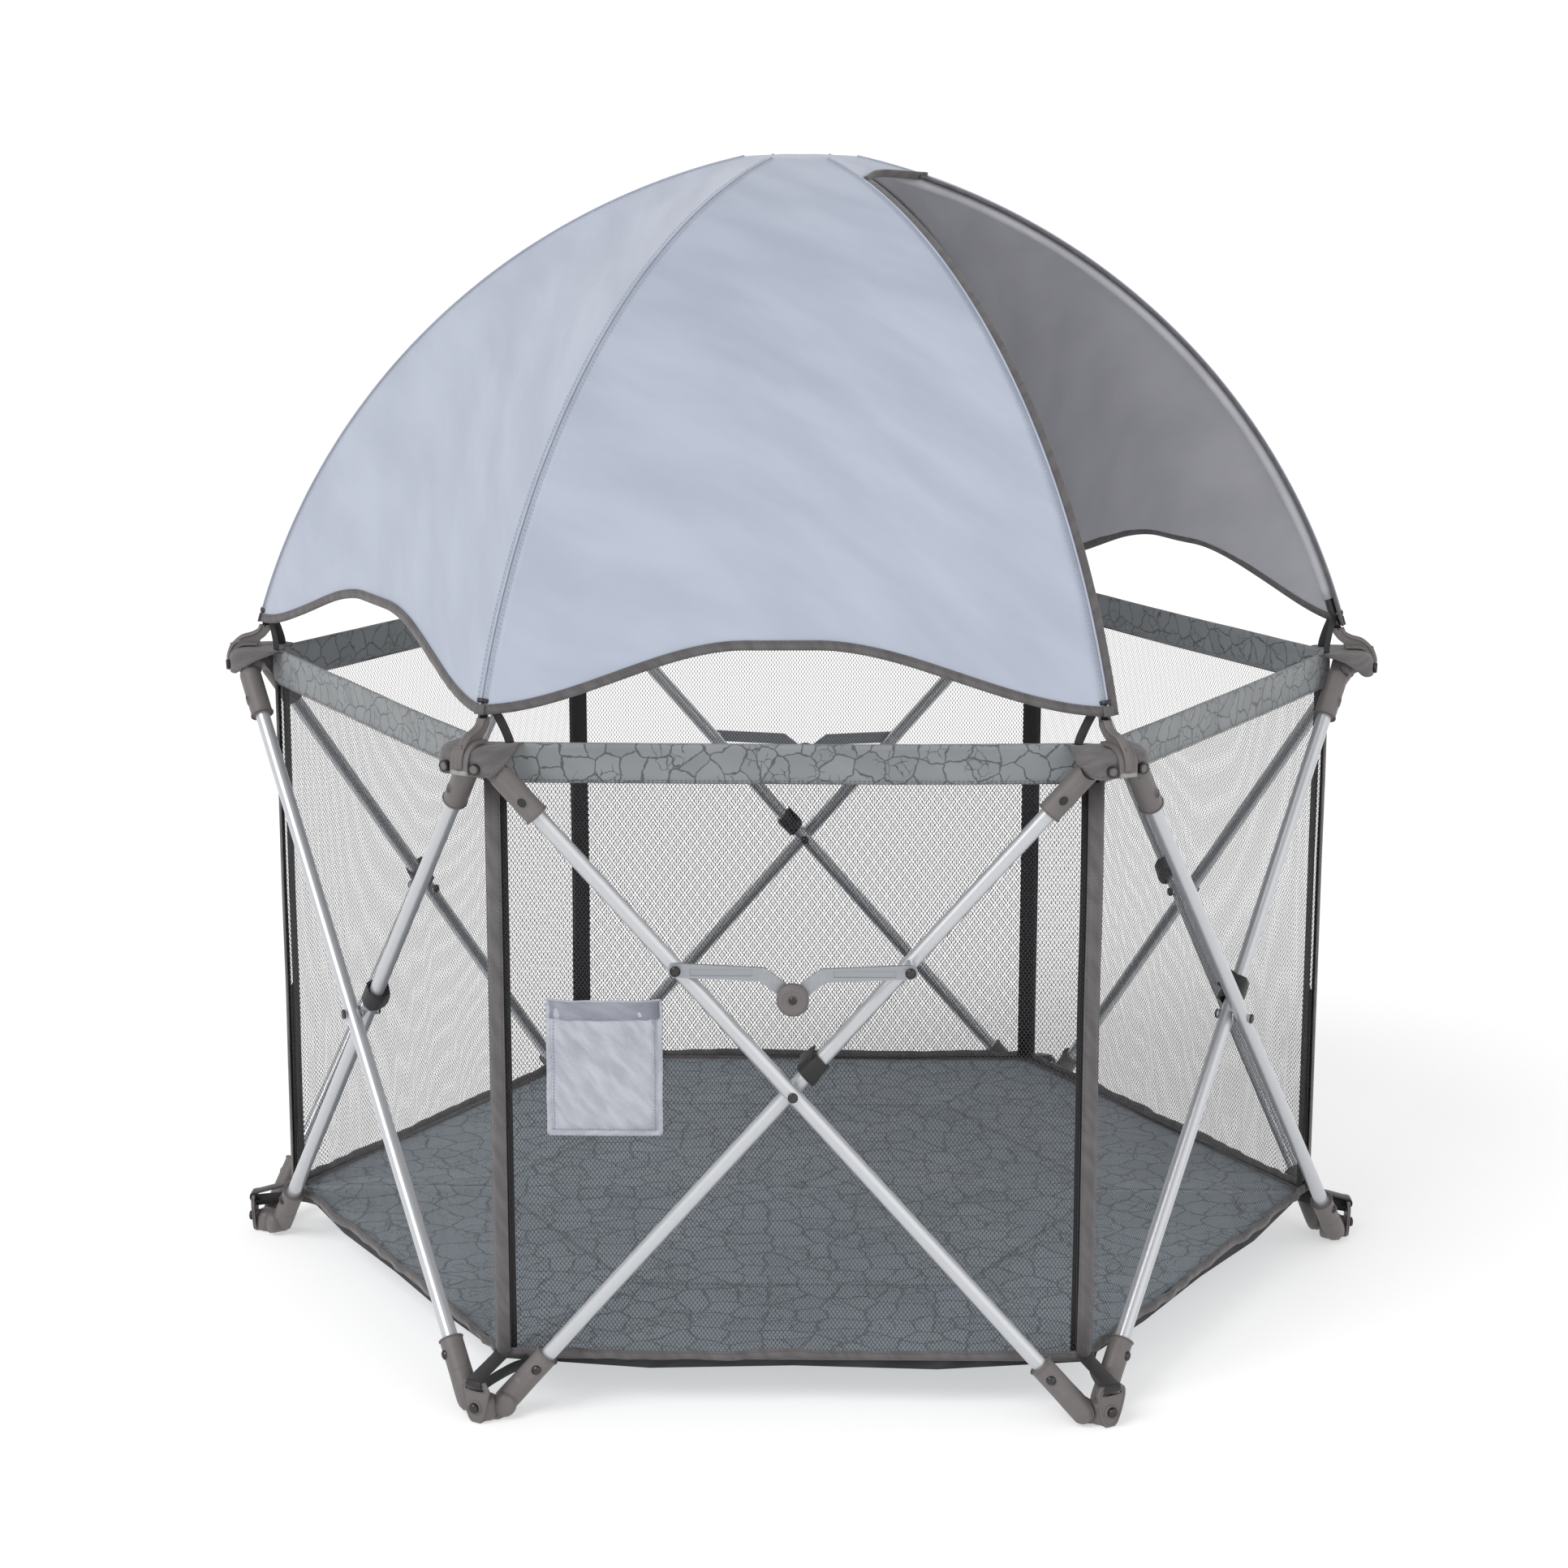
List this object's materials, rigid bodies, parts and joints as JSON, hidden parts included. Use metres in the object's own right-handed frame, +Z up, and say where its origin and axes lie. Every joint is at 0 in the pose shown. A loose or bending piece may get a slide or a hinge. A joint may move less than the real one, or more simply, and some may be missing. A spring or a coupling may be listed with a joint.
{
  "type": "travel play yard",
  "caption": "Folding six-sided play yard with a scissor frame, mesh walls, a floor mat, a storage pocket and a lift-off dome sun canopy.",
  "frame": {"origin": "on the ground, under the middle of the six-sided yard", "axes": "+Z up, the front side with the storage pocket faces -Y, +X points to the right corner"},
  "size_m": [1.295, 1.1498, 1.2448],
  "materials": {
    "frame_tube": "satin silver-grey powder coat",
    "brace_link": "satin silver-grey powder coat",
    "moulded_plastic": "fine moulded texture",
    "black_plastic": "smooth black",
    "pole": "smooth black fibreglass",
    "canopy_fabric": "satin woven nylon, dark grey inside",
    "band_fabric": "padded printed polyester",
    "wall_mesh": "knitted hexagonal mesh",
    "binding_fabric": "folded woven tape",
    "webbing": "ribbed woven webbing",
    "mat_fabric": "printed woven polyester with padding",
    "pocket_fabric": "thin coated nylon",
    "rivet_metal": "dark plated rivets"
  },
  "bodies": {
    "front_left_foot_body": {"front_left_foot": "moulded_plastic"},
    "front_left_top": {"front_left_bracket": "moulded_plastic", "front_wall": "wall_mesh", "storage_pocket": "pocket_fabric"},
    "front_inner": {"front_inner_tube": "frame_tube", "front_inner_sockets": "moulded_plastic"},
    "front_outer": {"front_outer_tube": "frame_tube", "front_outer_sockets": "moulded_plastic"},
    "front_floor": {"front_floor_panel": "mat_fabric"},
    "front_right_foot_body": {"front_right_foot": "moulded_plastic"},
    "front_right_top": {"front_right_bracket": "moulded_plastic", "right_front_wall": "wall_mesh"},
    "right_front_inner": {"right_front_inner_tube": "frame_tube", "right_front_inner_sockets": "moulded_plastic"},
    "right_front_outer": {"right_front_outer_tube": "frame_tube", "right_front_outer_sockets": "moulded_plastic"},
    "right_front_floor": {"right_front_floor_panel": "mat_fabric"},
    "right_foot_body": {"right_foot": "moulded_plastic"},
    "right_top": {"right_bracket": "moulded_plastic", "right_back_wall": "wall_mesh"},
    "right_back_inner": {"right_back_inner_tube": "frame_tube", "right_back_inner_sockets": "moulded_plastic"},
    "right_back_outer": {"right_back_outer_tube": "frame_tube", "right_back_outer_sockets": "moulded_plastic"},
    "right_back_floor": {"right_back_floor_panel": "mat_fabric"},
    "back_right_foot_body": {"back_right_foot": "moulded_plastic"},
    "back_right_top": {"back_right_bracket": "moulded_plastic", "back_wall": "wall_mesh"},
    "back_inner": {"back_inner_tube": "frame_tube", "back_inner_sockets": "moulded_plastic"},
    "back_outer": {"back_outer_tube": "frame_tube", "back_outer_sockets": "moulded_plastic"},
    "back_floor": {"back_floor_panel": "mat_fabric"},
    "back_left_foot_body": {"back_left_foot": "moulded_plastic"},
    "back_left_top": {"back_left_bracket": "moulded_plastic", "left_back_wall": "wall_mesh"},
    "left_back_inner": {"left_back_inner_tube": "frame_tube", "left_back_inner_sockets": "moulded_plastic"},
    "left_back_outer": {"left_back_outer_tube": "frame_tube", "left_back_outer_sockets": "moulded_plastic"},
    "left_back_floor": {"left_back_floor_panel": "mat_fabric"},
    "left_foot_body": {"left_foot": "moulded_plastic"},
    "left_top": {"left_bracket": "moulded_plastic", "left_front_wall": "wall_mesh"},
    "left_front_inner": {"left_front_inner_tube": "frame_tube", "left_front_inner_sockets": "moulded_plastic"},
    "left_front_outer": {"left_front_outer_tube": "frame_tube", "left_front_outer_sockets": "moulded_plastic"},
    "left_front_floor": {"left_front_floor_panel": "mat_fabric"},
    "front_left_link": {"front_brace_left_link": "brace_link"},
    "front_right_link": {"front_brace_right_link": "brace_link", "front_brace_lock": "moulded_plastic"},
    "back_left_link": {"back_brace_left_link": "brace_link"},
    "back_right_link": {"back_brace_right_link": "brace_link", "back_brace_lock": "moulded_plastic"},
    "canopy": {"canopy_fabric": "canopy_fabric", "canopy_poles": "pole", "canopy_hub": "black_plastic", "canopy_pole_tips": "black_plastic"}
  },
  "joints": [
    {"name": "frame_fold", "type": "hinge", "parent": "front_left_foot_body", "child": "front_inner", "pos_m": [-0.2925, -0.54127, 0.015], "axis": [0, -1, 0], "range_deg": [0, 37], "deforming": ["front_wall", "right_front_wall", "right_back_wall", "back_wall", "left_back_wall", "left_front_wall", "front_floor_panel", "right_front_floor_panel", "right_back_floor_panel", "back_floor_panel", "left_back_floor_panel", "left_front_floor_panel", "storage_pocket"]},
    {"name": "front_inner_to_front_right_top", "type": "hinge", "parent": "front_inner", "child": "front_right_top", "pos_m": [0.2925, -0.54127, 0.68], "axis": [0, -1, 0], "range_deg": [-38, 0]},
    {"name": "front_right_top_to_right_front_outer", "type": "hinge", "parent": "front_right_top", "child": "right_front_outer", "pos_m": [0.3225, -0.52394, 0.68], "axis": [0.866, -0.5, 0], "range_deg": [-38, 0]},
    {"name": "right_front_outer_to_right_foot_body", "type": "hinge", "parent": "right_front_outer", "child": "right_foot_body", "pos_m": [0.615, -0.01732, 0.015], "axis": [0.866, -0.5, 0], "range_deg": [0, 38]},
    {"name": "right_foot_body_to_right_back_inner", "type": "hinge", "parent": "right_foot_body", "child": "right_back_inner", "pos_m": [0.615, 0.01732, 0.015], "axis": [0.866, 0.5, 0], "range_deg": [0, 38]},
    {"name": "right_back_inner_to_back_right_top", "type": "hinge", "parent": "right_back_inner", "child": "back_right_top", "pos_m": [0.3225, 0.52394, 0.68], "axis": [0.866, 0.5, 0], "range_deg": [-38, 0]},
    {"name": "front_left_foot_body_to_left_front_outer", "type": "hinge", "parent": "front_left_foot_body", "child": "left_front_outer", "pos_m": [-0.3225, -0.52394, 0.015], "axis": [-0.866, -0.5, 0], "range_deg": [-38, 0]},
    {"name": "left_front_outer_to_left_top", "type": "hinge", "parent": "left_front_outer", "child": "left_top", "pos_m": [-0.615, -0.01732, 0.68], "axis": [-0.866, -0.5, 0], "range_deg": [0, 38]},
    {"name": "left_top_to_left_back_inner", "type": "hinge", "parent": "left_top", "child": "left_back_inner", "pos_m": [-0.615, 0.01732, 0.68], "axis": [-0.866, 0.5, 0], "range_deg": [0, 38]},
    {"name": "left_back_inner_to_back_left_foot_body", "type": "hinge", "parent": "left_back_inner", "child": "back_left_foot_body", "pos_m": [-0.3225, 0.52394, 0.015], "axis": [-0.866, 0.5, 0], "range_deg": [-38, 0]},
    {"name": "back_left_foot_body_to_back_outer", "type": "hinge", "parent": "back_left_foot_body", "child": "back_outer", "pos_m": [-0.2925, 0.54127, 0.015], "axis": [0, 1, 0], "range_deg": [-38, 0]},
    {"name": "front_inner_to_front_outer", "type": "hinge", "parent": "front_inner", "child": "front_outer", "pos_m": [0, -0.54127, 0.3475], "axis": [0, -1, 0], "range_deg": [-75, 0]},
    {"name": "right_front_outer_to_right_front_inner", "type": "hinge", "parent": "right_front_outer", "child": "right_front_inner", "pos_m": [0.46875, -0.27063, 0.3475], "axis": [0.866, -0.5, 0], "range_deg": [0, 75]},
    {"name": "right_back_inner_to_right_back_outer", "type": "hinge", "parent": "right_back_inner", "child": "right_back_outer", "pos_m": [0.46875, 0.27063, 0.3475], "axis": [0.866, 0.5, 0], "range_deg": [-75, 0]},
    {"name": "left_front_outer_to_left_front_inner", "type": "hinge", "parent": "left_front_outer", "child": "left_front_inner", "pos_m": [-0.46875, -0.27063, 0.3475], "axis": [-0.866, -0.5, 0], "range_deg": [0, 75]},
    {"name": "left_back_inner_to_left_back_outer", "type": "hinge", "parent": "left_back_inner", "child": "left_back_outer", "pos_m": [-0.46875, 0.27063, 0.3475], "axis": [-0.866, 0.5, 0], "range_deg": [-75, 0]},
    {"name": "back_outer_to_back_inner", "type": "hinge", "parent": "back_outer", "child": "back_inner", "pos_m": [0, 0.54127, 0.3475], "axis": [0, 1, 0], "range_deg": [0, 75]},
    {"name": "front_outer_to_front_left_top", "type": "hinge", "parent": "front_outer", "child": "front_left_top", "pos_m": [-0.2925, -0.54127, 0.68], "axis": [0, -1, 0], "range_deg": [0, 38]},
    {"name": "front_outer_to_front_right_foot_body", "type": "hinge", "parent": "front_outer", "child": "front_right_foot_body", "pos_m": [0.2925, -0.54127, 0.015], "axis": [0, -1, 0], "range_deg": [0, 38]},
    {"name": "right_front_inner_to_right_top", "type": "hinge", "parent": "right_front_inner", "child": "right_top", "pos_m": [0.615, -0.01732, 0.68], "axis": [0.866, -0.5, 0], "range_deg": [-38, 0]},
    {"name": "right_back_outer_to_back_right_foot_body", "type": "hinge", "parent": "right_back_outer", "child": "back_right_foot_body", "pos_m": [0.3225, 0.52394, 0.015], "axis": [0.866, 0.5, 0], "range_deg": [0, 38]},
    {"name": "left_front_inner_to_left_foot_body", "type": "hinge", "parent": "left_front_inner", "child": "left_foot_body", "pos_m": [-0.615, -0.01732, 0.015], "axis": [-0.866, -0.5, 0], "range_deg": [-38, 0]},
    {"name": "left_back_outer_to_back_left_top", "type": "hinge", "parent": "left_back_outer", "child": "back_left_top", "pos_m": [-0.3225, 0.52394, 0.68], "axis": [-0.866, 0.5, 0], "range_deg": [0, 38]},
    {"name": "front_outer_to_front_left_link", "type": "hinge", "parent": "front_outer", "child": "front_left_link", "pos_m": [-0.11493, -0.54127, 0.47814], "axis": [0, -1, 0], "range_deg": [0, 134.82]},
    {"name": "front_inner_to_front_right_link", "type": "hinge", "parent": "front_inner", "child": "front_right_link", "pos_m": [0.11493, -0.54127, 0.47814], "axis": [0, -1, 0], "range_deg": [-134.82, 0]},
    {"name": "back_outer_to_back_left_link", "type": "hinge", "parent": "back_outer", "child": "back_left_link", "pos_m": [0.11493, 0.54127, 0.47814], "axis": [0, 1, 0], "range_deg": [0, 134.82]},
    {"name": "back_inner_to_back_right_link", "type": "hinge", "parent": "back_inner", "child": "back_right_link", "pos_m": [-0.11493, 0.54127, 0.47814], "axis": [0, 1, 0], "range_deg": [-134.82, 0]},
    {"name": "front_floor_fold", "type": "hinge", "parent": "front_left_top", "child": "front_floor", "pos_m": [0, -0.5105, 0.0545], "axis": [1, 0, 0], "range_deg": [0, 83]},
    {"name": "right_front_floor_fold", "type": "hinge", "parent": "front_right_top", "child": "right_front_floor", "pos_m": [0.44211, -0.25525, 0.0545], "axis": [0.5, 0.866, 0], "range_deg": [0, 83]},
    {"name": "right_back_floor_fold", "type": "hinge", "parent": "right_top", "child": "right_back_floor", "pos_m": [0.44211, 0.25525, 0.0545], "axis": [-0.5, 0.866, 0], "range_deg": [0, 83]},
    {"name": "back_floor_fold", "type": "hinge", "parent": "back_right_top", "child": "back_floor", "pos_m": [0, 0.5105, 0.0545], "axis": [-1, 0, 0], "range_deg": [0, 83]},
    {"name": "left_back_floor_fold", "type": "hinge", "parent": "back_left_top", "child": "left_back_floor", "pos_m": [-0.44211, 0.25525, 0.0545], "axis": [-0.5, -0.866, 0], "range_deg": [0, 83]},
    {"name": "left_front_floor_fold", "type": "hinge", "parent": "left_top", "child": "left_front_floor", "pos_m": [-0.44211, -0.25525, 0.0545], "axis": [0.5, -0.866, 0], "range_deg": [0, 83]},
    {"name": "canopy_lift", "type": "slide", "parent": "front_left_foot_body", "child": "canopy", "axis": [-0.2827, -0.4895, 0.8249], "range_m": [0, 0.91]}
  ],
  "couplings": [
    {"joint": "front_inner_to_front_right_top", "follows": "frame_fold", "ratio": -1},
    {"joint": "front_right_top_to_right_front_outer", "follows": "frame_fold", "ratio": -1},
    {"joint": "right_front_outer_to_right_foot_body", "follows": "frame_fold", "ratio": 1},
    {"joint": "right_foot_body_to_right_back_inner", "follows": "frame_fold", "ratio": 1},
    {"joint": "right_back_inner_to_back_right_top", "follows": "frame_fold", "ratio": -1},
    {"joint": "front_left_foot_body_to_left_front_outer", "follows": "frame_fold", "ratio": -1},
    {"joint": "left_front_outer_to_left_top", "follows": "frame_fold", "ratio": 1},
    {"joint": "left_top_to_left_back_inner", "follows": "frame_fold", "ratio": 1},
    {"joint": "left_back_inner_to_back_left_foot_body", "follows": "frame_fold", "ratio": -1},
    {"joint": "back_left_foot_body_to_back_outer", "follows": "frame_fold", "ratio": -1},
    {"joint": "front_inner_to_front_outer", "follows": "frame_fold", "ratio": -2},
    {"joint": "right_front_outer_to_right_front_inner", "follows": "frame_fold", "ratio": 2},
    {"joint": "right_back_inner_to_right_back_outer", "follows": "frame_fold", "ratio": -2},
    {"joint": "left_front_outer_to_left_front_inner", "follows": "frame_fold", "ratio": 2},
    {"joint": "left_back_inner_to_left_back_outer", "follows": "frame_fold", "ratio": -2},
    {"joint": "back_outer_to_back_inner", "follows": "frame_fold", "ratio": 2},
    {"joint": "front_outer_to_front_left_top", "follows": "frame_fold", "ratio": 1},
    {"joint": "front_outer_to_front_right_foot_body", "follows": "frame_fold", "ratio": 1},
    {"joint": "right_front_inner_to_right_top", "follows": "frame_fold", "ratio": -1},
    {"joint": "right_back_outer_to_back_right_foot_body", "follows": "frame_fold", "ratio": 1},
    {"joint": "left_front_inner_to_left_foot_body", "follows": "frame_fold", "ratio": -1},
    {"joint": "left_back_outer_to_back_left_top", "follows": "frame_fold", "ratio": 1},
    {"joint": "front_outer_to_front_left_link", "follows": "frame_fold", "ratio": 3.6168},
    {"joint": "front_inner_to_front_right_link", "follows": "frame_fold", "ratio": -3.6168},
    {"joint": "back_outer_to_back_left_link", "follows": "frame_fold", "ratio": 3.6168},
    {"joint": "back_inner_to_back_right_link", "follows": "frame_fold", "ratio": -3.6168},
    {"joint": "front_floor_fold", "follows": "frame_fold", "ratio": 2.2162},
    {"joint": "right_front_floor_fold", "follows": "frame_fold", "ratio": 2.2162},
    {"joint": "right_back_floor_fold", "follows": "frame_fold", "ratio": 2.2162},
    {"joint": "back_floor_fold", "follows": "frame_fold", "ratio": 2.2162},
    {"joint": "left_back_floor_fold", "follows": "frame_fold", "ratio": 2.2162},
    {"joint": "left_front_floor_fold", "follows": "frame_fold", "ratio": 2.2162},
    {"joint": "canopy_lift", "follows": "frame_fold", "m_per_rad": 1.4076}
  ]
}
